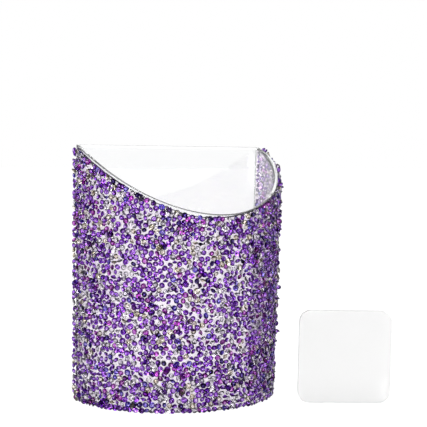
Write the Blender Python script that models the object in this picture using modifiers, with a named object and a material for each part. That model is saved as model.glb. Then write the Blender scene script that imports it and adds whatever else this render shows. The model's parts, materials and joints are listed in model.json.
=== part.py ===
"""A clear moulded cup for make-up brushes, with a flat back and a scooped rim.

The cup's curved outside carries a film of clear glue and a close field of small faceted stones. A row of
stones, each a solid of its own, follows the rim above the field. A loose square wall pad stands beside the
cup. The origin is on the floor under the middle of the cup's depth. The back faces +Y and the scoop faces -Y.
"""

import bisect
import math
import random

import bmesh
import bpy
from mathutils import Matrix, Vector

# Driving sizes of the cup, in metres, taken on the bare plastic
cup_width = 0.096
cup_depth = 0.0495
cup_height = 0.114
front_height = 0.0857
wall_thickness = 0.002
straight_side = 0.0066
edge_radius = 0.0004
base_plan_share = 0.971
scoop_power = 1.32
curve_steps = 48

# Driving sizes of the glue and the stones, from the wall outwards
fit_gap = 0.0003
glue_thickness = 0.0003
glue_rows = 8
stone_diameter = 0.0027
stone_height = 0.0017
stone_spacing = 0.0004
stone_facets = 8
table_share = 0.55
culet_share = 0.2
pavilion_height_share = 0.6
girdle_height_share = 0.12
most_rim_stones = 50
bare_rim_margin = 0.0007
base_margin = 0.0005

# The field of stones is drawn as a staggered net in which every third knot is a crown
field_height = 0.0017
field_columns = 96
field_rows = 60
field_stagger = 0.5
field_jitter_share = 0.12
crown_shares = (0.75, 1.0)
valley_shares = (0.06, 0.22)
stone_seed = 7

# Driving sizes of the wall pad and the place where it stands
pad_side = 0.042
pad_corner_radius = 0.0053
gel_thickness = 0.0015
liner_thickness = 0.0002
pad_corner_steps = 6
pad_place_share = 0.84
pad_turn = math.radians(-27.5)

# Points read along the wall before they are spaced evenly, and the distance at which points are one
fine_steps = 400
weld_distance = 0.00001

half_width = cup_width / 2
back_y = cup_depth / 2
glue_offset = fit_gap
stone_offset = glue_offset + glue_thickness + fit_gap


def clear_scene():
    for old in list(bpy.data.objects):
        bpy.data.objects.remove(old, do_unlink=True)


def new_collection(name):
    made = bpy.data.collections.new(name)
    bpy.context.scene.collection.children.link(made)
    return made


def material(name, colour, roughness, metallic=0.0, transmission=0.0):
    made = bpy.data.materials.new(name)
    made.use_nodes = True
    shader = made.node_tree.nodes["Principled BSDF"]
    shader.inputs["Base Color"].default_value = (*colour, 1.0)
    shader.inputs["Roughness"].default_value = roughness
    shader.inputs["Metallic"].default_value = metallic
    shader.inputs["Transmission Weight"].default_value = transmission
    made.diffuse_color = (*colour, 1.0)
    return made


def mesh_from(name, bm):
    mesh = bpy.data.meshes.new(name)
    bm.to_mesh(mesh)
    bm.free()
    return mesh


def add_object(name, mesh, finish, collection):
    made = bpy.data.objects.new(name, mesh)
    collection.objects.link(made)
    mesh.materials.append(finish)
    return made


# The plan of the wall: a short straight side from the back corner, half an ellipse, and back again


def side_plan():
    """(plan point, outward normal) along the decorated wall, from its left back end to its right back end."""
    bow_y = back_y - straight_side
    bow_depth = bow_y + back_y
    end_y = back_y - edge_radius
    rows = [(Vector((-half_width, end_y)), Vector((-1, 0)))]
    for step in range(fine_steps + 1):
        angle = math.pi * step / fine_steps
        normal = Vector((-math.cos(angle) / half_width, -math.sin(angle) / bow_depth)).normalized()
        rows.append((Vector((-half_width * math.cos(angle), bow_y - bow_depth * math.sin(angle))), normal))
    rows.append((Vector((half_width, end_y)), Vector((1, 0))))
    return rows


class Walk:
    """Rows of numbers or vectors along a line, read by the distance walked from its first row."""

    def __init__(self, rows, reach):
        self.rows = rows
        self.walked = [0.0]
        for before, after in zip(rows, rows[1:]):
            self.walked.append(self.walked[-1] + reach(before, after))
        self.length = self.walked[-1]

    def at(self, distance):
        """The two rows on either side of this distance, and the share of the way between them."""
        distance = min(max(distance, 0.0), self.length)
        after = min(max(bisect.bisect(self.walked, distance), 1), len(self.rows) - 1)
        start, end = self.walked[after - 1], self.walked[after]
        return self.rows[after - 1], self.rows[after], (distance - start) / (end - start)


wall_walk = Walk(side_plan(), lambda a, b: (b[0] - a[0]).length)


def wall_at(distance):
    """The plan point this far along the decorated wall, and its outward normal."""
    (a_point, a_normal), (b_point, b_normal), share = wall_walk.at(distance)
    return a_point.lerp(b_point, share), a_normal.lerp(b_normal, share).normalized()


def wall_stops(steps):
    """Even distances along the wall, from end to end."""
    return [wall_walk.length * step / steps for step in range(steps + 1)]


def rim_height(y):
    """Height of the rim over a plan point: level along the back, then falling faster towards the front."""
    scoop_share = max(0.0, back_y - y) / cup_depth  # a point on the back may lie a rounding error behind it
    return cup_height - (cup_height - front_height) * scoop_share**scoop_power


def rim_over(distance):
    return rim_height(wall_at(distance)[0].y)


def rim_slope(distance):
    reach = wall_walk.length / fine_steps
    return (rim_over(distance + reach) - rim_over(distance - reach)) / (2 * reach)


def drafted(point, height):
    """The plan point drawn in towards the middle of the back face, as the mould's draft does lower down."""
    scale = base_plan_share + (1 - base_plan_share) * height / cup_height
    return Vector((point.x * scale, back_y + (point.y - back_y) * scale))


def off_wall(distance, height, offset):
    """The place this far along the wall and this high, standing off the plastic by offset."""
    point, normal = wall_at(distance)
    place = drafted(point, height) + normal * offset
    return Vector((place.x, place.y, height))


# The cup: its outside as an open surface, thickened inwards


def cup_plan():
    """The whole outline of the cup, from its left back corner round the front to its right back corner."""
    wall = [wall_at(distance)[0] for distance in wall_stops(curve_steps)[1:-1]]
    return [Vector((-half_width, back_y)), *wall, Vector((half_width, back_y))]


def make_cup(collection):
    bm = bmesh.new()
    plan = cup_plan()
    plan_of = {bm.verts.new((*drafted(point, 0), 0)): point for point in plan}
    floor = bm.faces.new(list(plan_of))
    walls = bmesh.ops.extrude_edge_only(bm, edges=list(floor.edges))
    for vert in walls["geom"]:
        if isinstance(vert, bmesh.types.BMVert):
            below = next(e.other_vert(vert) for e in vert.link_edges if e.other_vert(vert) in plan_of)
            height = rim_height(plan_of[below].y)
            vert.co = (*drafted(plan_of[below], height), height)
    bmesh.ops.recalc_face_normals(bm, faces=bm.faces)
    if floor.normal.z > 0:
        bmesh.ops.reverse_faces(bm, faces=bm.faces)
    finish = material("clear_moulded_plastic", (0.93, 0.94, 0.97), 0.05, transmission=1.0)
    cup = add_object("cup", mesh_from("cup", bm), finish, collection)
    shell = cup.modifiers.new("wall", "SOLIDIFY")
    shell.thickness = wall_thickness
    shell.offset = -1
    shell.use_even_offset = True
    rounding = cup.modifiers.new("edges", "BEVEL")
    rounding.width = edge_radius
    rounding.segments = 2
    rounding.limit_method = "ANGLE"
    rounding.angle_limit = math.radians(50)
    cup.data.shade_smooth()
    cup.data.set_sharp_from_angle(angle=math.radians(35))


# The glue: an open sheet laid round the wall, thickened outwards


def wall_knot(across, up, top_margin, offset):
    """A place off the wall, at a share of the way along it and of the way up to top_margin below the rim."""
    distance = wall_walk.length * across
    top = rim_over(distance) - top_margin * math.hypot(1, rim_slope(distance))
    return off_wall(distance, base_margin + (top - base_margin) * up, offset)


def make_glue_film(collection):
    bm = bmesh.new()
    bmesh.ops.create_grid(bm, x_segments=curve_steps, y_segments=glue_rows, size=1)
    for vert in bm.verts:
        vert.co = wall_knot((vert.co.x + 1) / 2, (vert.co.y + 1) / 2, bare_rim_margin, glue_offset)
    bmesh.ops.triangulate(bm, faces=bm.faces, quad_method="SHORT_EDGE")
    finish = material("clear_glue", (0.95, 0.95, 0.96), 0.08, transmission=1.0)
    film = add_object("glue_film", mesh_from("glue_film", bm), finish, collection)
    shell = film.modifiers.new("thickness", "SOLIDIFY")
    shell.thickness = glue_thickness
    shell.offset = 1


# The field of stones: crowns and valleys outside, plain strips inside


def is_crown(column, row):
    """True for one knot in three of a staggered net, so that each crown has six valleys round it."""
    return (column - (row - row % 2) // 2 - row) % 3 == 0


def field_knots(bm, top_margin):
    """The outer face of the field, as a net of crowns and valleys, with its points by column and row."""
    dice = random.Random(stone_seed)
    bmesh.ops.create_grid(bm, x_segments=field_columns, y_segments=field_rows, size=1)
    knots = {}
    for vert in bm.verts:
        column = round((vert.co.x + 1) / 2 * field_columns)
        row = round((vert.co.y + 1) / 2 * field_rows)
        knots[column, row] = vert
        across, up = column, row
        if 0 < column < field_columns:
            across += field_stagger * (row % 2) + field_jitter_share * dice.uniform(-1, 1)
        if 0 < row < field_rows:
            up += field_jitter_share * dice.uniform(-1, 1)
        shares = crown_shares if is_crown(column, row) else valley_shares
        offset = stone_offset + field_height * dice.uniform(*shares)
        vert.co = wall_knot(across / field_columns, up / field_rows, top_margin, offset)
    return knots


def make_stone_field(collection):
    """The stones below the rim row, bonded side by side into one coat."""
    top_margin = bare_rim_margin + stone_diameter + stone_spacing
    bm = bmesh.new()
    knots = field_knots(bm, top_margin)
    last_column, last_row = field_columns, field_rows
    border = [(column, 0) for column in range(last_column)]
    border += [(last_column, row) for row in range(last_row)]
    border += [(column, last_row) for column in range(last_column, 0, -1)]
    border += [(0, row) for row in range(last_row, 0, -1)]
    inner = {}
    for column, row in border:
        place = wall_knot(column / last_column, row / last_row, top_margin, stone_offset)
        inner[column, row] = bm.verts.new(place)
    for here, there in zip(border, border[1:] + border[:1]):
        bm.faces.new((knots[here], inner[here], inner[there], knots[there]))
    for column in range(1, last_column - 1):
        beside = column + 1
        bm.faces.new((inner[column, 0], inner[column, last_row], inner[beside, last_row], inner[beside, 0]))
    for end, beside in ((0, 1), (last_column, last_column - 1)):
        foot = inner[beside, 0]
        for row in range(last_row):
            bm.faces.new((foot, inner[end, row], inner[end, row + 1]))
        bm.faces.new((foot, inner[end, last_row], inner[beside, last_row]))
    bmesh.ops.triangulate(bm, faces=bm.faces, quad_method="SHORT_EDGE")
    bmesh.ops.recalc_face_normals(bm, faces=bm.faces)
    finish = material("bonded_purple_glass", (0.14, 0.04, 0.33), 0.12)
    add_object("stone_field", mesh_from("stone_field", bm), finish, collection)


# The row of single stones under the rim


def stone_mesh():
    """The profile of a pointed-back stone, from its table down to its blunt point."""
    girdle = stone_diameter / 2
    girdle_base = stone_height * pavilion_height_share
    girdle_top = girdle_base + stone_height * girdle_height_share
    profile = [
        (0, stone_height),
        (girdle * table_share, stone_height),
        (girdle, girdle_top),
        (girdle, girdle_base),
        (girdle * culet_share, 0),
        (0, 0),
    ]
    bm = bmesh.new()
    points = [bm.verts.new((x, 0, z)) for x, z in profile]
    for above, below in zip(points, points[1:]):
        bm.edges.new((above, below))
    return mesh_from("rim_stone", bm)


def rim_row():
    """(distance along the wall, height) of the middle of each stone in the row."""
    rim_walk = Walk(
        [Vector((distance, rim_over(distance))) for distance in wall_stops(fine_steps)],
        lambda a, b: (b - a).length,
    )
    count = min(most_rim_stones, int(rim_walk.length / (stone_diameter + stone_spacing)))
    drop = bare_rim_margin + stone_diameter / 2
    places = []
    for index in range(count):
        before, after, share = rim_walk.at(rim_walk.length * (index + 0.5) / count)
        distance = before.lerp(after, share).x
        slope = rim_slope(distance)
        stretch = math.hypot(1, slope)
        places.append((distance + drop * slope / stretch, rim_over(distance) - drop / stretch))
    return places


def make_rim_stones(collection):
    """Each stone takes the next colour of the order in which they are laid."""
    amethyst = material("amethyst_glass", (0.10, 0.02, 0.27), 0.08)
    violet = material("violet_glass", (0.09, 0.05, 0.42), 0.08)
    plum = material("plum_glass", (0.30, 0.03, 0.36), 0.08)
    clear = material("clear_glass", (0.78, 0.77, 0.80), 0.08)
    smoky = material("smoky_glass", (0.36, 0.32, 0.28), 0.08)
    midnight = material("midnight_glass", (0.02, 0.015, 0.07), 0.08)
    laying_order = [amethyst, violet, clear, amethyst, plum, clear, violet, amethyst, smoky, midnight]
    mesh = stone_mesh()
    mesh.materials.append(amethyst)
    upward = Vector((0, 0, 1))
    for index, (distance, height) in enumerate(rim_row()):
        outward = wall_at(distance)[1].to_3d()
        facing = Matrix((outward.cross(upward), upward, outward)).transposed().to_4x4()
        stone = bpy.data.objects.new(f"rim_stone_{index + 1:02d}", mesh)
        collection.objects.link(stone)
        stone.matrix_world = Matrix.Translation(off_wall(distance, height, stone_offset)) @ facing
        cut = stone.modifiers.new("cut", "SCREW")
        cut.steps = stone_facets
        cut.render_steps = stone_facets
        cut.use_merge_vertices = True
        cut.merge_threshold = weld_distance
        cut.use_smooth_shade = False
        stone.material_slots[0].link = "OBJECT"
        stone.material_slots[0].material = laying_order[index % len(laying_order)]


# The wall pad: clear gel between two release liners


def rounded_square(name, thickness, finish, collection):
    """A filled outline with round corners, thickened evenly to both sides of its own plane."""
    curve = bpy.data.curves.new(name, "CURVE")
    curve.dimensions = "2D"
    curve.fill_mode = "BOTH"
    curve.extrude = thickness / 2
    reach = pad_side / 2 - pad_corner_radius
    points = []
    for quarter in range(4):
        turn = Matrix.Rotation(math.pi / 2 * quarter, 2)
        for step in range(pad_corner_steps + 1):
            angle = math.pi / 2 * step / pad_corner_steps
            arm = Vector((math.cos(angle), math.sin(angle))) * pad_corner_radius
            points.append(turn @ (Vector((reach, reach)) + arm))
    line = curve.splines.new("POLY")
    line.points.add(len(points) - 1)
    for target, point in zip(line.points, points):
        target.co = (point.x, point.y, 0, 1)
    line.use_cyclic_u = True
    curve.materials.append(finish)
    made = bpy.data.objects.new(name, curve)
    collection.objects.link(made)
    return made


def make_pad(collection):
    """The pad stands on its lower edge, its near end level with the cup's front and the rest ahead of it."""
    ahead = Vector((math.cos(pad_turn), math.sin(pad_turn))) * pad_side / 2
    stand = bpy.data.objects.new("pad_stand", None)
    collection.objects.link(stand)
    stand.location = (half_width * pad_place_share + ahead.x, -back_y + ahead.y, pad_side / 2)
    stand.rotation_euler = (math.pi / 2, 0, pad_turn)
    gel = material("clear_gel", (0.93, 0.93, 0.94), 0.2, transmission=1.0)
    liner = material("liner_film", (0.96, 0.96, 0.96), 0.15, transmission=1.0)
    liner_place = gel_thickness / 2 + fit_gap + liner_thickness / 2
    for name, thickness, finish, place in (
        ("pad_gel", gel_thickness, gel, 0),
        ("pad_front_liner", liner_thickness, liner, liner_place),
        ("pad_back_liner", liner_thickness, liner, -liner_place),
    ):
        sheet = rounded_square(name, thickness, finish, collection)
        sheet.parent = stand
        sheet.location = (0, 0, place)


clear_scene()
holder = new_collection("makeup_brush_holder")
make_cup(holder)
make_glue_film(holder)
make_stone_field(holder)
make_rim_stones(holder)
make_pad(holder)
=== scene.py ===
"""A clear cup for make-up brushes, its bowed outside laid with small cut-glass stones, and its wall pad.

Lengths are in metres and +Z is up. The cup's flat back faces +Y and its scooped front faces -Y.
"""

import bisect
import math
import random

import bmesh
import bpy
import numpy as np
from mathutils import Matrix, Vector, kdtree, noise
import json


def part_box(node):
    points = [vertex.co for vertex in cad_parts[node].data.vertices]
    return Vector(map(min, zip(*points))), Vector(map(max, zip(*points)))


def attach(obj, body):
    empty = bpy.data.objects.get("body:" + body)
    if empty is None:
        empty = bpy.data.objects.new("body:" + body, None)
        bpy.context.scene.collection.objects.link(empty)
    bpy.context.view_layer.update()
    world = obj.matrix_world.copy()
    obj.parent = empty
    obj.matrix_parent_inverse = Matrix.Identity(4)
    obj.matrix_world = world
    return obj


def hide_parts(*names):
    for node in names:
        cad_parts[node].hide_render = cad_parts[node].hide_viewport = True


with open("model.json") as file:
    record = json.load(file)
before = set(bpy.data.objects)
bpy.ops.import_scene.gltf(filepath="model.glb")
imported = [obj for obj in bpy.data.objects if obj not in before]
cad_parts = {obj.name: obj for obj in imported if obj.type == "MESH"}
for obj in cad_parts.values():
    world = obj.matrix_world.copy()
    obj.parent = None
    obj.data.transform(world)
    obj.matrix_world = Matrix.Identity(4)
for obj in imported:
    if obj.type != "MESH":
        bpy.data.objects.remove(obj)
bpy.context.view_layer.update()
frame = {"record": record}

# Cup: one injection moulding in clear polystyrene, with a flat back, a bowed front and a scooped rim.
# It comes polished from the mould, with a little draft, round edges and a small fillet round its floor.
# The flat back and the floor are left bare.

_, cup_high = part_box("cup")
half_width = cup_high.x
back_y = cup_high.y
cup_height = cup_high.z
cup_depth = 0.0495
front_y = back_y - cup_depth
front_height = 0.0857
wall_thickness = 0.002
outer_corner_radius = 0.0007
inner_corner_radius = 0.0005
straight_side = 0.0066
outer_lip_rounding = 0.00015
inner_lip_rounding = 0.0012
base_rounding = 0.0005
floor_fillet = 0.0009
base_plan_share = 0.971
scoop_power = 1.32
fine_steps = 1200
wall_steps = 200
corner_steps = 8
back_steps = 40
rounding_steps = 5


def side_rows():
    """(plan point, outward normal) along the bowed wall, from its left back end to its right back end."""
    bow_y = back_y - straight_side
    bow_depth = bow_y - front_y
    end_y = back_y - outer_corner_radius
    rows = [(Vector((-half_width, end_y)), Vector((-1, 0)))]
    for step in range(fine_steps + 1):
        angle = math.pi * step / fine_steps
        point = Vector((-half_width * math.cos(angle), bow_y - bow_depth * math.sin(angle)))
        normal = Vector((-math.cos(angle) / half_width, -math.sin(angle) / bow_depth))
        rows.append((point, normal.normalized()))
    rows.append((Vector((half_width, end_y)), Vector((1, 0))))
    return rows


bowed_wall = side_rows()
walked = [0.0]
for (before, _), (after, _) in zip(bowed_wall, bowed_wall[1:]):
    walked.append(walked[-1] + (after - before).length)
wall_length = walked[-1]


def wall_at(distance):
    """The plan point this far along the bowed wall, and its outward normal."""
    distance = min(max(distance, 0.0), wall_length)
    after = min(max(bisect.bisect(walked, distance), 1), len(walked) - 1)
    share = (distance - walked[after - 1]) / (walked[after] - walked[after - 1])
    (start, start_normal), (end, end_normal) = bowed_wall[after - 1], bowed_wall[after]
    return start.lerp(end, share), start_normal.lerp(end_normal, share).normalized()


def rim_height(y):
    """Level along the back, then falling faster towards the front."""
    scoop_share = max(0.0, back_y - y) / (back_y - front_y)
    return cup_height - (cup_height - front_height) * scoop_share**scoop_power


def draft_scale(height):
    """The mould's draft draws the plan in by this, lower down, towards the middle of the back face."""
    return base_plan_share + (1 - base_plan_share) * height / cup_height


def drafted(point, height):
    """The plan point at this height, drawn in by the draft."""
    scale = draft_scale(height)
    return Vector((point.x * scale, back_y + (point.y - back_y) * scale, height))


def wall_plan(inset):
    """Plan points round the cup, drawn in from its outer face: bowed wall, corner, back and other corner."""
    bow = []
    for step in range(1, wall_steps):
        point, normal = wall_at(wall_length * step / wall_steps)
        bow.append(point - normal * inset)
    share = inset / wall_thickness
    radius = outer_corner_radius + (inner_corner_radius - outer_corner_radius) * share
    middle = Vector((half_width - inset - radius, back_y - inset - radius))
    corner = []
    for step in range(corner_steps + 1):
        angle = math.pi / 2 * step / corner_steps
        corner.append(middle + Vector((math.cos(angle), math.sin(angle))) * radius)
    back = []
    for step in range(1, back_steps):
        back.append(Vector((middle.x * (1 - 2 * step / back_steps), back_y - inset)))
    return bow + corner + back + [Vector((-point.x, point.y)) for point in reversed(corner)]


def cup_profile(rim):
    """(height, inset from the outer face) from under the outer edge, over the rim, to the inner floor."""
    turns = [math.pi / 2 * step / rounding_steps for step in range(rounding_steps + 1)]
    outer_edge = [(base_rounding * (1 - math.cos(t)), base_rounding * (1 - math.sin(t))) for t in turns]
    lips = []
    for radius in (outer_lip_rounding, inner_lip_rounding):
        lips.append([(rim - radius * (1 - math.sin(t)), radius * (1 - math.cos(t))) for t in turns])
    outer_lip = lips[0]
    inner_lip = [(height, wall_thickness - inset) for height, inset in reversed(lips[1])]
    fillet = [
        (wall_thickness + floor_fillet * (1 - math.sin(t)), wall_thickness + floor_fillet * (1 - math.cos(t)))
        for t in turns
    ]
    return outer_edge + outer_lip + inner_lip + fillet


def add_piece(name, mesh, finish):
    """Every piece here is rigid and belongs to the part's one body."""
    piece = bpy.data.objects.new(name, mesh)
    bpy.context.scene.collection.objects.link(piece)
    mesh.materials.append(finish)
    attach(piece, "root")
    return piece


def linear(hex_colour):
    """An sRGB colour as the linear colour that a shader takes."""
    channels = [int(hex_colour[at : at + 2], 16) / 255 for at in (1, 3, 5)]
    return [c / 12.92 if c <= 0.04045 else ((c + 0.055) / 1.055) ** 2.4 for c in channels] + [1.0]


def add_node(tree, kind, inputs, **settings):
    """An input given as a socket is linked, and any other is set."""
    made = tree.nodes.new(kind)
    for name, value in settings.items():
        setattr(made, name, value)
    for key, value in inputs.items():
        if isinstance(value, bpy.types.NodeSocket):
            tree.links.new(value, made.inputs[key])
        else:
            made.inputs[key].default_value = value
    return made


def new_material(name):
    made = bpy.data.materials.new(name)
    made.use_nodes = True
    made.node_tree.nodes.clear()
    return made


def clear_polystyrene():
    """Crystal polystyrene, moulded and polished: bright and glassy, with slow waves where the melt flowed."""
    made = new_material("clear_polystyrene")
    tree = made.node_tree
    wave_size = 0.014
    wave_depth = 0.00006
    position = add_node(tree, "ShaderNodeTexCoord", {})
    waves = add_node(
        tree,
        "ShaderNodeTexNoise",
        {"Vector": position.outputs["Object"], "Scale": 1 / wave_size, "Detail": 1.0},
    )
    tint = add_node(
        tree,
        "ShaderNodeMix",
        {0: waves.outputs["Fac"], 6: linear("#FCFDFE"), 7: linear("#FFFFFF")},
        data_type="RGBA",
    )
    relief = add_node(
        tree, "ShaderNodeBump", {"Height": waves.outputs["Fac"], "Distance": wave_depth, "Strength": 1.0}
    )
    shader = add_node(
        tree,
        "ShaderNodeBsdfPrincipled",
        {
            "Base Color": tint.outputs[2],
            "Normal": relief.outputs["Normal"],
            "Roughness": 0.02,
            "IOR": 1.59,
            "Transmission Weight": 0.95,
        },
    )
    add_node(tree, "ShaderNodeOutputMaterial", {"Surface": shader.outputs["BSDF"]})
    return made


def cup_mesh():
    bm = bmesh.new()
    plans = [wall_plan(inset) for _, inset in cup_profile(cup_height)]
    columns = []
    for index, outer in enumerate(wall_plan(0)):
        heights = [height for height, _ in cup_profile(rim_height(outer.y))]
        columns.append([bm.verts.new(drafted(plan[index], height)) for plan, height in zip(plans, heights)])
    for here, there in zip(columns, columns[1:] + columns[:1]):
        for row in range(len(here) - 1):
            bm.faces.new((here[row], there[row], there[row + 1], here[row + 1]))
    bm.faces.new([column[0] for column in reversed(columns)])
    bm.faces.new([column[-1] for column in columns])
    bmesh.ops.recalc_face_normals(bm, faces=bm.faces)
    mesh = bpy.data.meshes.new("moulded_cup")
    bm.to_mesh(mesh)
    bm.free()
    mesh.shade_smooth()
    return mesh


cup = add_piece("moulded_cup", cup_mesh(), clear_polystyrene())
cup.modifiers.new("flat_faces_stay_flat", "WEIGHTED_NORMAL")
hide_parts("cup")

# Glue: a film of clear craft glue, brushed over the bowed wall and set with the stones in it.
# It is a little wavy, thin at its edges, and stops unevenly just below the rim.

glue_gap = 0.00004
glue_thickness = 0.0004
glue_thickness_shares = (0.35, 1.0)
glue_edge_share = 0.05
glue_wave = 0.004
# Shares of the way along the wall, and how far below the rim the glue stops there
glue_stops_at = (0.0, 0.04, 0.28, 0.40, 0.55, 1.0)
glue_margins = (0.0, 0.0008, 0.0012, 0.0020, 0.0005, 0.0001)
glue_margin_play = 0.0002
glue_base_margin = 0.0003
glue_columns = 220
glue_rows = 90
glue_taper_steps = 2


def off_wall(distance, height, offset):
    """The place this far along the bowed wall and this high, standing off the plastic by offset."""
    point, normal = wall_at(distance)
    return drafted(point, height) + normal.to_3d() * offset


def rim_over(distance):
    return rim_height(wall_at(distance)[0].y)


def rim_slope(distance):
    reach = wall_length / wall_steps
    return (rim_over(distance + reach) - rim_over(distance - reach)) / (2 * reach)


def bare_margin(distance):
    """How much of the wall stays bare under the rim: most left of the front, and none at the left corner."""
    return float(np.interp(distance / wall_length, glue_stops_at, glue_margins))


def craft_glue():
    """Solvent craft glue, set clear: glossy, with the soft ripples that the brush left, and a faint lilac
    tint in patches that is painted light, the purple light that the stones throw onto it.
    """
    made = new_material("craft_glue")
    tree = made.node_tree
    ripple_size = 0.0016
    ripple_depth = 0.00005
    position = add_node(tree, "ShaderNodeTexCoord", {})
    ripples = add_node(
        tree,
        "ShaderNodeTexNoise",
        {"Vector": position.outputs["Object"], "Scale": 1 / ripple_size, "Detail": 2.0},
    )
    # Painted light: the lilac end of this tint stands in for purple light that the stones throw onto the glue
    # between them
    tint = add_node(
        tree,
        "ShaderNodeMix",
        {0: ripples.outputs["Fac"], 6: linear("#F6E8FA"), 7: linear("#FFFFFC")},
        data_type="RGBA",
    )
    relief = add_node(
        tree, "ShaderNodeBump", {"Height": ripples.outputs["Fac"], "Distance": ripple_depth, "Strength": 1.0}
    )
    shader = add_node(
        tree,
        "ShaderNodeBsdfPrincipled",
        {
            "Base Color": tint.outputs[2],
            "Normal": relief.outputs["Normal"],
            "Roughness": 0.05,
            "IOR": 1.48,
            "Transmission Weight": 1.0,
        },
    )
    add_node(tree, "ShaderNodeOutputMaterial", {"Surface": shader.outputs["BSDF"]})
    return made


def glue_mesh():
    """The film's inner face, with each point's share of the full thickness kept for the Solidify modifier."""
    bm = bmesh.new()
    low, high = glue_thickness_shares
    columns = []
    shares = []
    for column in range(glue_columns + 1):
        distance = wall_length * column / glue_columns
        edge_play = noise.noise(Vector((distance / glue_wave, 0, 0))) * glue_margin_play
        top = rim_over(distance) - (bare_margin(distance) + edge_play) * math.hypot(1, rim_slope(distance))
        points = []
        for row in range(glue_rows + 1):
            height = glue_base_margin + (top - glue_base_margin) * row / glue_rows
            points.append(bm.verts.new(off_wall(distance, height, glue_gap)))
            swell = 0.5 + noise.noise(Vector((distance / glue_wave, height / glue_wave, 1.0))) / 2
            from_edge = min(row, glue_rows - row, column, glue_columns - column)
            taper = min(1.0, from_edge / glue_taper_steps + glue_edge_share)
            shares.append((low + (high - low) * swell) * taper)
        columns.append(points)
    for here, there in zip(columns, columns[1:]):
        for row in range(glue_rows):
            bm.faces.new((here[row], there[row], there[row + 1], here[row + 1]))
    mesh = bpy.data.meshes.new("glue")
    bm.to_mesh(mesh)
    bm.free()
    mesh.shade_smooth()
    return mesh, shares


film_mesh, film_shares = glue_mesh()
film = add_piece("glue", film_mesh, craft_glue())
swelling = film.vertex_groups.new(name="swelling")
for index, share in enumerate(film_shares):
    swelling.add([index], share, "REPLACE")
film_body = film.modifiers.new("film_thickness", "SOLIDIFY")
film_body.thickness = glue_thickness
film_body.offset = 1
film_body.vertex_group = swelling.name
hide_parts("glue_film")

# Stones: loose round cut-glass stones with pointed backs, 2.1 to 2.9 mm across, strewn on the wet glue by
# hand. They lie at all tilts, touch at their edges, leave small gaps, and a few ride on their neighbours.
# Each colour is one piece here, and each of its stones is a closed faceted solid.

# The cut: smallest, commonest and largest radius, shares of the radius, and the painted light at each point:
# painted shade at the girdle, painted light at the table and the back point
stone_radii = (0.00105, 0.00127, 0.00145)
table_share = 0.56
crown_share = 0.34
girdle_share = 0.1
pavilion_share = 0.85
girdle_sides = 16
table_edge_painted_light = 0.5
girdle_painted_light = 0.0
back_point_painted_light = 0.9
table_painted_light = 1.0
# Painted light: it differs from facet to facet by this share, painted shade fills one side of each stone
# between these shares of the radius, and a painted highlight of this share lies on the other side
facet_painted_light_play_share = 0.6
painted_shade_side_shares = (0.1, 0.45)
painted_gleam_share = 0.5

# How closely the stones are strewn, and how far they slide apart
stone_pitch = 0.00262
pitch_play_share = 0.45
top_row_share = 0.4
edge_pitch_share = 0.9
edge_play_share = 0.12
packing_share = 0.94
settling_rounds = 40

# Where the strewn wall ends: shares of the way along it, and how far stones lap over the glue's edge there
stones_lap_at = (0.0, 0.04, 1.0)
stone_laps = (0.0008, 0.0004, 0.0009)
stone_base_margin = -0.0001
end_margin_share = 0.4

# How the stones lie: piles are (place along the wall, height, reach)
stone_seat = 0.0001
end_piles = ((0.0, 0.0003, 0.006), (wall_length, 0.0008, 0.018))
riding_chance = 0.09
riding_lift_share = 0.6
riding_end_margin = 0.004
facing_tilt = math.radians(48)
lying_tilts = (math.radians(55), math.radians(105))
face_down_tilt = math.radians(26)
facing_chance = 0.70
lying_chance = 0.12

# How much likelier pale and deep colours are in a pale patch
patch_size = 0.011
pale_gain = 0.9
deep_gain = -0.3
least_patch_share = 0.1
dice = random.Random(11)


def cut_stone():
    """Points and facets of a stone of radius 1 with its table up, and the painted light at each point:
    painted shade at the girdle, painted light at the table and the back point.

    The points are the table's corners, the girdle's upper and lower ring, the back point and the table's
    middle. With 16 sides, the crown and the pavilion have 24 and 16 facets.
    """
    table_sides = girdle_sides // 2
    upper_ring = table_sides
    lower_ring = upper_ring + girdle_sides
    back_point = lower_ring + girdle_sides
    table_middle = back_point + 1
    top = Vector((0, 0, crown_share + girdle_share / 2))
    rise = Vector((0, 0, girdle_share / 2))
    ring = []
    for k in range(girdle_sides):
        angle = math.tau * k / girdle_sides
        ring.append(Vector((math.cos(angle), math.sin(angle), 0)))
    verts = [ring[2 * k + 1] * table_share + top for k in range(table_sides)]
    verts += [corner + rise for corner in ring]
    verts += [corner - rise for corner in ring]
    verts += [Vector((0, 0, -pavilion_share)), top]
    faces = []
    for k in range(table_sides):
        beside = (k + 1) % table_sides
        before = upper_ring + 2 * k
        here = before + 1
        after = upper_ring + (2 * k + 2) % girdle_sides
        faces += [(k, before, here), (k, here, after), (k, after, beside), (table_middle, k, beside)]
    for k in range(girdle_sides):
        upper, lower = upper_ring + k, lower_ring + k
        upper_beside, lower_beside = upper_ring + (k + 1) % girdle_sides, lower_ring + (k + 1) % girdle_sides
        faces += [(upper, lower, lower_beside, upper_beside), (lower, back_point, lower_beside)]
    painted_levels = [table_edge_painted_light] * table_sides + [girdle_painted_light] * (2 * girdle_sides)
    return verts, faces, painted_levels + [back_point_painted_light, table_painted_light]


def facet_painted_light(verts, painted_levels, faces, edge_painted_light):
    """The painted light at each facet's corners: a painted highlight on one side, painted shade on the other,
    and painted light that differs from facet to facet.
    """
    side = Matrix.Rotation(math.tau * dice.random(), 2) @ Vector((1, 0))
    lit_to, dark_from = painted_shade_side_shares
    lights = []
    for face in faces:
        play = 1 + facet_painted_light_play_share * dice.uniform(-1, 1)
        for corner in face:
            across = verts[corner].xy @ side
            painted_gleam = painted_levels[corner] + painted_gleam_share * max(0.0, -across)
            level = edge_painted_light + (1 - edge_painted_light) * play * painted_gleam
            shade = (across - lit_to) / (dark_from - lit_to)
            lights.append(level * (1 - min(max(shade, 0.0), 1.0)))
    return lights


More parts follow.
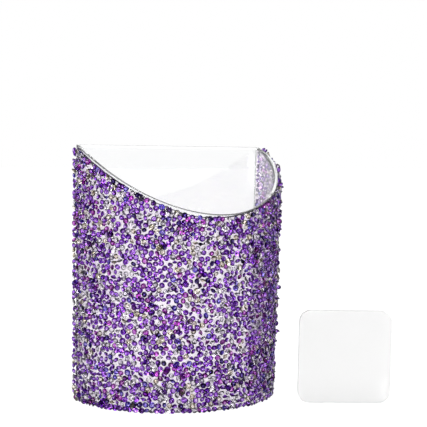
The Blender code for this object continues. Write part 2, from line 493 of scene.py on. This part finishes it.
def nearest_on_wall(place):
    """How far along the bowed wall a place lies."""
    scale = draft_scale(place.z)
    plan = Vector((place.x / scale, back_y + (place.y - back_y) / scale))
    closest = min(range(len(walked)), key=lambda at: (bowed_wall[at][0] - plan).length)
    return walked[closest]


def in_bounds(distance, height, radius):
    """The same place, kept inside the glued wall."""
    end_margin = radius * end_margin_share
    distance = min(max(distance, end_margin), wall_length - end_margin)
    lap = float(np.interp(distance / wall_length, stones_lap_at, stone_laps))
    margin = bare_margin(distance) - lap + radius
    ceiling = rim_over(distance) - margin * math.hypot(1, rim_slope(distance))
    return distance, min(max(height, stone_base_margin + radius), ceiling)


def settle(places, fixed_count):
    """Push stones that overlap apart along the wall, as they slide in the wet glue. The first few stay."""
    reach = 2 * stone_radii[-1]
    for _ in range(settling_rounds):
        tree = kdtree.KDTree(len(places))
        for index, (distance, height, _) in enumerate(places):
            tree.insert((distance, height, 0), index)
        tree.balance()
        shifts = [[0.0, 0.0] for _ in places]
        for index, (distance, height, radius) in enumerate(places):
            for spot, other, apart in tree.find_range((distance, height, 0), reach):
                wanted = (radius + places[other][2]) * packing_share
                if other == index or apart >= wanted or apart == 0:
                    continue
                push = (wanted - apart) / apart / (1 if other < fixed_count else 2)
                shifts[index][0] += (distance - spot.x) * push
                shifts[index][1] += (height - spot.y) * push
        for index in range(fixed_count, len(places)):
            distance, height, radius = places[index]
            moved = in_bounds(distance + shifts[index][0], height + shifts[index][1], radius)
            places[index] = (*moved, radius)


def random_radius():
    smallest, commonest, largest = stone_radii
    return dice.triangular(smallest, largest, commonest)


def facing_lean():
    """The tilt of a stone that shows its table."""
    return dice.triangular(0, facing_tilt, facing_tilt / 2)


def random_tilt():
    """Most stones show their table, some lie on their side and the rest show their point."""
    draw = dice.random()
    if draw < facing_chance:
        return facing_lean()
    if draw < facing_chance + lying_chance:
        return dice.uniform(*lying_tilts)
    return math.pi - dice.uniform(0, face_down_tilt)


def stone_matrix(distance, height, radius, tilt, lift):
    """The stone's size, turn and place: its lowest point is pressed into the glue, or rides lift above it.

    Stones pile up a little at the ends of the glue.
    """
    outward = wall_at(distance)[1].to_3d()
    upward = Vector((0, 0, 1))
    facing = Matrix((upward.cross(outward), upward, outward)).transposed()
    lean = Matrix.Rotation(math.tau * dice.random(), 3, "Z") @ Matrix.Rotation(tilt, 3, "X")
    turn = facing @ lean @ Matrix.Rotation(math.tau * dice.random(), 3, "Z")
    down = turn.transposed() @ -outward
    rings = ((table_share, crown_share + girdle_share / 2), (1, -girdle_share / 2), (0, -pavilion_share))
    depth = max(reach * math.hypot(down.x, down.y) + level * down.z for reach, level in rings) * radius
    for end, pile, reach in end_piles:
        lift += pile * max(0.0, 1 - abs(distance - end) / reach)
    place = off_wall(distance, height, stone_seat + depth + lift)
    return Matrix.Translation(place) @ (turn * radius).to_4x4()


rim_slots = {}
for subpart in frame["record"]["subparts"]:
    if subpart["node"].startswith("rim_stone"):
        rim_slots[subpart["node"]] = subpart["material_slot"]

places = []
for node in rim_slots:
    low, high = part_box(node)
    middle = (low + high) / 2
    radius = random_radius()
    places.append((*in_bounds(nearest_on_wall(middle), middle.z, radius), radius))
edge_pitch = stone_pitch * edge_pitch_share
edge_play = stone_pitch * edge_play_share
edge_spots = [(edge_pitch * (step + 0.5), 0.0) for step in range(int(wall_length / edge_pitch))]
for end in (0.0, wall_length):
    rows = int(rim_over(end) / edge_pitch)
    edge_spots += [(end, edge_pitch * (step + 0.5)) for step in range(1, rows - 1)]
for distance, height in edge_spots:
    radius = random_radius()
    distance += dice.uniform(-edge_play, edge_play)
    height += dice.uniform(-edge_play, edge_play)
    places.append((*in_bounds(distance, height, radius), radius))
fixed_count = len(places)
row_pitch = stone_pitch * math.sqrt(3) / 2
for row in range(1, int(cup_height / row_pitch)):
    for column in range(1, int(wall_length / stone_pitch)):
        distance = stone_pitch * (column + 0.5 * (row % 2) + dice.uniform(-1, 1) * pitch_play_share)
        height = row_pitch * (row + 0.5) + stone_pitch * dice.uniform(-1, 1) * pitch_play_share
        radius = random_radius()
        if height < rim_over(distance) - stone_pitch * top_row_share:
            places.append((*in_bounds(distance, height, radius), radius))
settle(places, fixed_count)

# (piece, weight in the draw, least painted light, painted shade tone at the rim, darkest and lightest melt,
# painted highlight tone)
stone_glasses = {
    "amethyst_glass": ("amethyst_stones", 0.56, 0.0, "#080018", "#6818B4", "#B060F4", "#F8ECFF"),
    "violet_glass": ("violet_stones", 0.06, 0.0, "#040220", "#38209C", "#7860D8", "#E0DCFF"),
    "plum_glass": ("plum_stones", 0.10, 0.0, "#100018", "#841890", "#CC5CE0", "#FFE0FF"),
    "clear_glass": ("clear_stones", 0.21, 0.08, "#040306", "#CCC6D6", "#FFFCFF", "#FFFFFF"),
    "smoky_glass": ("smoky_stones", 0.07, 0.08, "#0C0804", "#D0C4A8", "#FFF8EC", "#FFFFFF"),
    "midnight_glass": ("midnight_stones", 0.03, 0.0, "#040008", "#140830", "#30186C", "#A898E8"),
}
slots = list(stone_glasses)
pale_slots = ("clear_glass", "smoky_glass")


def lead_glass(name, rim, darker, lighter, painted_gleam):
    """Machine-cut crystal glass, coloured in the melt: sharp glossy facets, with a painted pale highlight and
    painted dark shade at the girdle.

    No two stones are quite alike in depth of colour. The tone runs from the painted rim shade to the melt's
    up to half the painted light, and on to the painted highlight above it. The gloss is tinted, so that the
    white studio doesn't veil the glass.
    """
    made = new_material(name)
    tree = made.node_tree
    island = add_node(tree, "ShaderNodeNewGeometry", {})
    # Painted light and shade: this attribute holds painted shade at the girdle and on one side, and painted
    # light and a painted highlight elsewhere
    painted_light = add_node(tree, "ShaderNodeAttribute", {}, attribute_name="painted_light")
    melt = add_node(
        tree,
        "ShaderNodeMix",
        {0: island.outputs["Random Per Island"], 6: linear(darker), 7: linear(lighter)},
        data_type="RGBA",
    )
    lower = add_node(tree, "ShaderNodeMath", {0: painted_light.outputs["Fac"], 1: 2.0}, operation="MULTIPLY")
    upper = add_node(tree, "ShaderNodeMath", {0: lower.outputs[0], 1: 1.0}, operation="SUBTRACT")
    # Painted shade: the rim tone darkens the glass towards the girdle and the shaded side, and the gleam tone
    # above half the level is a painted highlight
    body = add_node(
        tree, "ShaderNodeMix", {0: lower.outputs[0], 6: linear(rim), 7: melt.outputs[2]}, data_type="RGBA"
    )
    tint = add_node(
        tree, "ShaderNodeMix", {0: upper.outputs[0], 6: body.outputs[2], 7: linear(painted_gleam)}, data_type="RGBA"
    )
    shader = add_node(
        tree,
        "ShaderNodeBsdfPrincipled",
        {
            "Base Color": tint.outputs[2],
            "Roughness": 0.01,
            "IOR": 1.55,
            "Specular Tint": linear(darker),
            "Transmission Weight": 1.0,
        },
    )
    add_node(tree, "ShaderNodeOutputMaterial", {"Surface": shader.outputs["BSDF"]})
    return made


def random_slot(distance, height):
    """Clear and smoky stones gather in patches, as handfuls of the mix fall."""
    patch = noise.noise(Vector((distance / patch_size, height / patch_size, 0)))
    chances = []
    for slot, (_, weight, *_) in stone_glasses.items():
        gain = pale_gain if slot in pale_slots else deep_gain
        chances.append(weight * max(least_patch_share, 1 + gain * patch))
    return dice.choices(slots, chances)[0]


laid = {slot: [] for slot in slots}
fixed_slots = list(rim_slots.values())
for index, (distance, height, radius) in enumerate(places):
    slot = fixed_slots[index] if index < len(fixed_slots) else random_slot(distance, height)
    tilt = facing_lean() if index < fixed_count else random_tilt()
    laid[slot].append(stone_matrix(distance, height, radius, tilt, 0.0))
for distance, height, radius in places:
    rides = dice.random() < riding_chance
    if rides and riding_end_margin < distance < wall_length - riding_end_margin:
        distance += dice.uniform(-radius, radius)
        height += dice.uniform(-radius, radius)
        spot = in_bounds(distance, height, radius)
        slot = random_slot(*spot)
        laid[slot].append(stone_matrix(*spot, radius, random_tilt(), radius * riding_lift_share))

stone_verts, stone_faces, stone_painted_levels = cut_stone()
for slot, matrices in laid.items():
    name, _, edge_painted_light, *tones = stone_glasses[slot]
    verts, faces, lights = [], [], []
    for matrix in matrices:
        first = len(verts)
        verts += [matrix @ vert for vert in stone_verts]
        faces += [tuple(first + corner for corner in face) for face in stone_faces]
        lights += facet_painted_light(stone_verts, stone_painted_levels, stone_faces, edge_painted_light)
    mesh = bpy.data.meshes.new(name)
    mesh.from_pydata(verts, [], faces)
    # Each facet corner keeps its level of painted light and shade
    mesh.attributes.new("painted_light", "FLOAT", "CORNER").data.foreach_set("value", lights)
    stones = add_piece(name, mesh, lead_glass(slot, *tones))
    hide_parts("stone_field", *[node for node, of_slot in rim_slots.items() if of_slot == slot])

# Wall pad: a square of soft clear gel, sticky on both sides, that holds the cup's back to a wall.
# It is cast flat with round corners. Here it stands by itself on one edge.

pad_low, pad_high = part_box("pad_gel")
pad_side = pad_high.z - pad_low.z
pad_middle = (pad_low + pad_high) / 2
pad_turn = math.radians(-27.5)
gel_thickness = 0.0015
pad_corner_radius = 0.0053
gel_rounding = 0.0004
pad_corner_steps = 10


def pad_outline(side, radius, inset):
    """The outline of a square with round corners, drawn in by inset."""
    reach = side / 2 - radius
    points = []
    for quarter in range(4):
        turn = Matrix.Rotation(math.pi / 2 * quarter, 2)
        for step in range(pad_corner_steps + 1):
            angle = math.pi / 2 * step / pad_corner_steps
            arm = Vector((math.cos(angle), math.sin(angle))) * (radius - inset)
            points.append(turn @ (Vector((reach, reach)) + arm))
    return points


def sheet_mesh(name, thickness, rounding):
    """A flat sheet with the pad's outline and round edges, standing at the pad's place."""
    bm = bmesh.new()
    rings = []
    for level in (-1, 1):
        for step in range(rounding_steps + 1):
            share = step / rounding_steps if level < 0 else 1 - step / rounding_steps
            turn = math.pi / 2 * share
            ring = pad_outline(pad_side, pad_corner_radius, rounding * (1 - math.sin(turn)))
            out = level * (thickness / 2 - rounding + rounding * math.cos(turn))
            rings.append([bm.verts.new((point.x, out, point.y)) for point in ring])
    for lower, upper in zip(rings, rings[1:]):
        for here in range(len(lower)):
            there = (here + 1) % len(lower)
            bm.faces.new((lower[here], lower[there], upper[there], upper[here]))
    bm.faces.new(rings[0])
    bm.faces.new(list(reversed(rings[-1])))
    bmesh.ops.recalc_face_normals(bm, faces=bm.faces)
    mesh = bpy.data.meshes.new(name)
    bm.to_mesh(mesh)
    bm.free()
    mesh.shade_smooth()
    return mesh


def soft_gel():
    """Polyurethane gel, cast: soft, nearly clear and a little cloudy."""
    made = new_material("soft_gel")
    tree = made.node_tree
    cloud_size = 0.006
    position = add_node(tree, "ShaderNodeTexCoord", {})
    clouds = add_node(
        tree,
        "ShaderNodeTexNoise",
        {"Vector": position.outputs["Object"], "Scale": 1 / cloud_size, "Detail": 2.0},
    )
    tint = add_node(
        tree,
        "ShaderNodeMix",
        {0: clouds.outputs["Fac"], 6: linear("#FDFDFD"), 7: linear("#FFFFFF")},
        data_type="RGBA",
    )
    shader = add_node(
        tree,
        "ShaderNodeBsdfPrincipled",
        {
            "Base Color": tint.outputs[2],
            "Roughness": 0.1,
            "IOR": 1.49,
            "Transmission Weight": 0.85,
        },
    )
    add_node(tree, "ShaderNodeOutputMaterial", {"Surface": shader.outputs["BSDF"]})
    return made


pad_place = Matrix.Translation(pad_middle) @ Matrix.Rotation(pad_turn, 4, "Z")
gel_mesh = sheet_mesh("wall_pad_gel", gel_thickness, gel_rounding)
gel_mesh.transform(pad_place)
gel = add_piece("wall_pad_gel", gel_mesh, soft_gel())
gel.modifiers.new("flat_faces_stay_flat", "WEIGHTED_NORMAL")
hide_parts("pad_gel")

# Release liners: a thin polyester film on each face of the gel, die-cut with it to the same outline. They
# keep its two sticky faces clean, and are peeled off before the pad is used.

liner_thickness = 0.0002
liner_rounding = 0.00005
liner_gap = 0.0003
liner_place = gel_thickness / 2 + liner_gap + liner_thickness / 2


def polyester_film():
    """Cast polyester release film: thin, glossy and faintly milky."""
    made = new_material("polyester_film")
    tree = made.node_tree
    haze_size = 0.009
    position = add_node(tree, "ShaderNodeTexCoord", {})
    haze = add_node(
        tree,
        "ShaderNodeTexNoise",
        {"Vector": position.outputs["Object"], "Scale": 1 / haze_size, "Detail": 1.0},
    )
    tint = add_node(
        tree,
        "ShaderNodeMix",
        {0: haze.outputs["Fac"], 6: linear("#FDFDFD"), 7: linear("#FFFFFF")},
        data_type="RGBA",
    )
    shader = add_node(
        tree,
        "ShaderNodeBsdfPrincipled",
        {
            "Base Color": tint.outputs[2],
            "Roughness": 0.05,
            "IOR": 1.57,
            "Transmission Weight": 0.95,
        },
    )
    add_node(tree, "ShaderNodeOutputMaterial", {"Surface": shader.outputs["BSDF"]})
    return made


film_finish = polyester_film()
for node, name, side in (("pad_front_liner", "front_liner", -1), ("pad_back_liner", "back_liner", 1)):
    liner_mesh = sheet_mesh(name, liner_thickness, liner_rounding)
    liner_mesh.transform(pad_place @ Matrix.Translation((0, side * liner_place, 0)))
    liner = add_piece(name, liner_mesh, film_finish)
    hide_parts(node)

# Floor: pale seamless paper under the part. It glows only for the rays that show the background, so that
# it reads as white there, lights nothing and still keeps a soft shadow.

floor_reach = 3.0
floor_drop = 0.0002
floor_glow = 0.92


def background_rays(tree):
    """1 for rays from the camera, through glass or off a gloss, which all see the white studio."""
    rays = add_node(tree, "ShaderNodeLightPath", {})
    shown = rays.outputs["Is Camera Ray"]
    for kind in ("Is Transmission Ray", "Is Glossy Ray"):
        either = add_node(tree, "ShaderNodeMath", {0: shown, 1: rays.outputs[kind]}, operation="MAXIMUM")
        shown = either.outputs[0]
    return shown


bpy.ops.mesh.primitive_plane_add(size=2 * floor_reach, location=(0, 0, -floor_drop))
floor = bpy.context.object
floor.name = "paper_floor"
paper = new_material("seamless_paper")
tree = paper.node_tree
glow = add_node(tree, "ShaderNodeMath", {0: background_rays(tree), 1: floor_glow}, operation="MULTIPLY")
matt = add_node(tree, "ShaderNodeBsdfDiffuse", {"Color": linear("#9A9A9A")})
white = add_node(tree, "ShaderNodeEmission", {"Color": linear("#FFFFFF"), "Strength": glow.outputs[0]})
both = add_node(tree, "ShaderNodeAddShader", {0: matt.outputs["BSDF"], 1: white.outputs["Emission"]})
add_node(tree, "ShaderNodeOutputMaterial", {"Surface": both.outputs[0]})
floor.data.materials.append(paper)

# Light: a white studio with six small lamps at a plain level: a key high on the left, one in front, a fill
# on the right, one at the far left, one overhead and a weak one low in front.

studio_white = 1.0
studio_fill = 0.38
lamp_aim = Vector((0, 0, 0.05))

world = bpy.data.worlds.new("white_studio")
bpy.context.scene.world = world
world.use_nodes = True
world.node_tree.nodes.clear()
tree = world.node_tree
bright = add_node(tree, "ShaderNodeMix", {0: background_rays(tree), 2: studio_fill, 3: studio_white})
studio = add_node(tree, "ShaderNodeBackground", {"Color": linear("#FFFFFF"), "Strength": bright.outputs[0]})
add_node(tree, "ShaderNodeOutputWorld", {"Surface": studio.outputs[0]})

for name, spot, size, power in (
    ("key", (-0.6, -0.5, 0.5), 0.2, 2.5),
    ("front", (0.0, -0.8, 0.65), 0.2, 2.0),
    ("fill", (0.7, -0.5, 0.4), 0.2, 1.7),
    ("left", (-0.85, 0.1, 0.45), 0.2, 2.0),
    ("top", (-0.1, -0.3, 0.95), 0.2, 2.0),
    ("low", (-0.5, -0.85, 0.12), 0.12, 0.7),
):
    lamp = bpy.data.lights.new(name, "AREA")
    lamp.size = size
    lamp.energy = power
    lamp_object = bpy.data.objects.new(name, lamp)
    bpy.context.scene.collection.objects.link(lamp_object)
    lamp_object.location = spot
    lamp_object.rotation_euler = (lamp_aim - Vector(spot)).to_track_quat("-Z", "Y").to_euler()

# Camera: a long lens a little above the rim, turned to the cup's left front, as fitted to the photograph.
# It turns, looks down and rolls about the point that it aims at.

camera_aim = Vector((0.00838, -0.00099, 0.08429))
camera_distance = 0.53689
camera_turn = -0.5431
camera_drop = 0.0675
camera_roll = 0.0218
camera = bpy.data.cameras.new("camera")
camera.sensor_width = 36
camera.lens = 100.52
camera_object = bpy.data.objects.new("camera", camera)
bpy.context.scene.collection.objects.link(camera_object)
camera_object.matrix_world = (
    Matrix.Translation(camera_aim)
    @ Matrix.Rotation(camera_turn, 4, "Z")
    @ Matrix.Rotation(math.pi / 2 - camera_drop, 4, "X")
    @ Matrix.Rotation(camera_roll, 4, "Z")
    @ Matrix.Translation((0, 0, camera_distance))
)
bpy.context.scene.camera = camera_object
bpy.context.scene.view_settings.view_transform = "Standard"
